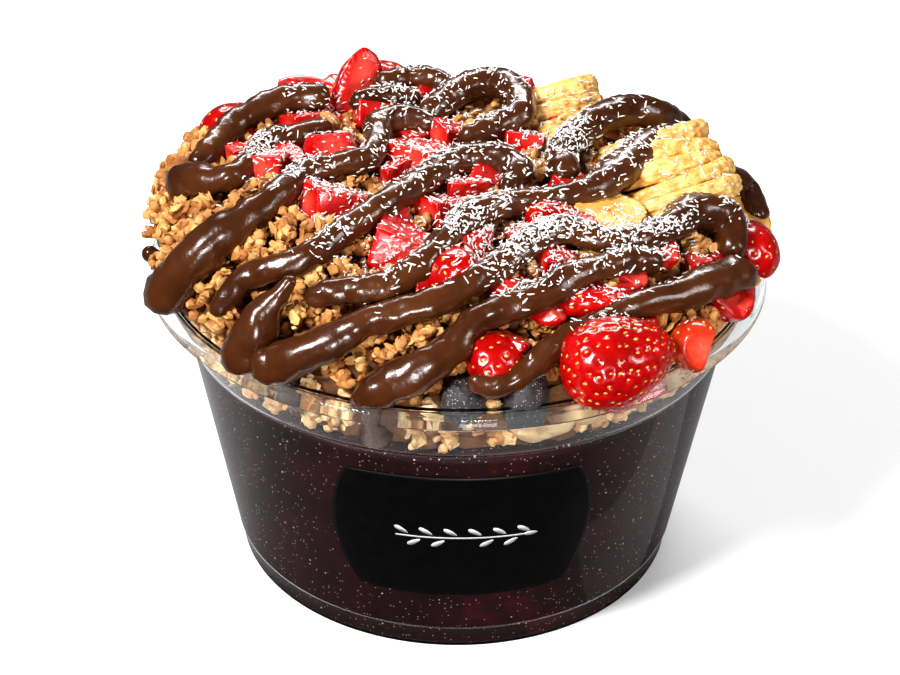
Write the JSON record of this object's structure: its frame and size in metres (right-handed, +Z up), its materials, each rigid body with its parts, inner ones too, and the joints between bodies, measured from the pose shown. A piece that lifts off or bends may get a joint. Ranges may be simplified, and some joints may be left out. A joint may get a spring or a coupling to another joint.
{
  "type": "acai bowl",
  "caption": "Clear tapered cup of acai pulp heaped with granola, cut strawberries, banana slices, dark berries, coconut and chocolate sauce.",
  "frame": {"origin": "centre of the foot ring, on the surface that the cup stands on", "axes": "+Z up along the cup's axis, -Y towards the label on the front"},
  "size_m": [0.1425, 0.14, 0.1064],
  "materials": {
    "clear_plastic": "clear gloss, thin thermoformed plastic",
    "acai_pulp": "dark purple frozen pulp with fine pale specks, moist",
    "label_film": "satin black",
    "toasted_oats": "dry, toasted golden brown clusters",
    "strawberry_flesh": "wet gloss with pale seeds",
    "banana_flesh": "moist satin, fibrous",
    "frosted_berry": "near black with a grey frost",
    "chocolate_sauce": "thick, glossy milk chocolate"
  },
  "bodies": {
    "root": {"acai": "acai_pulp", "banana_01": "banana_flesh", "banana_02": "banana_flesh", "banana_03": "banana_flesh", "banana_04": "banana_flesh", "banana_05": "banana_flesh", "banana_06": "banana_flesh", "banana_07": "banana_flesh", "banana_08": "banana_flesh", "banana_09": "banana_flesh", "banana_10": "banana_flesh", "banana_11": "banana_flesh", "banana_12": "banana_flesh", "banana_13": "banana_flesh", "banana_14": "banana_flesh", "banana_15": "banana_flesh", "cup": "clear_plastic", "dark_berry_1": "frosted_berry", "dark_berry_2": "frosted_berry", "granola": "toasted_oats", "label": "label_film", "sauce_back_left": "chocolate_sauce", "sauce_back_right": "chocolate_sauce", "sauce_centre": "chocolate_sauce", "sauce_crest_left": "chocolate_sauce", "sauce_crest_loop": "chocolate_sauce", "sauce_crest_low": "chocolate_sauce", "sauce_front": "chocolate_sauce", "sauce_front_left": "chocolate_sauce", "sauce_front_right": "chocolate_sauce", "sauce_left": "chocolate_sauce", "sauce_long_left": "chocolate_sauce", "sauce_middle": "chocolate_sauce", "sauce_peak": "chocolate_sauce", "sauce_right_end": "chocolate_sauce", "strawberry_01": "strawberry_flesh", "strawberry_02": "strawberry_flesh", "strawberry_03": "strawberry_flesh", "strawberry_04": "strawberry_flesh", "strawberry_05": "strawberry_flesh", "strawberry_06": "strawberry_flesh", "strawberry_07": "strawberry_flesh", "strawberry_08": "strawberry_flesh", "strawberry_09": "strawberry_flesh", "strawberry_10": "strawberry_flesh", "strawberry_11": "strawberry_flesh", "strawberry_12": "strawberry_flesh", "strawberry_13": "strawberry_flesh", "strawberry_14": "strawberry_flesh", "strawberry_15": "strawberry_flesh", "strawberry_16": "strawberry_flesh", "strawberry_17": "strawberry_flesh", "strawberry_18": "strawberry_flesh", "strawberry_19": "strawberry_flesh", "strawberry_20": "strawberry_flesh", "strawberry_21": "strawberry_flesh", "strawberry_22": "strawberry_flesh", "strawberry_23": "strawberry_flesh", "strawberry_24": "strawberry_flesh", "strawberry_25": "strawberry_flesh"}
  },
  "joints": []
}
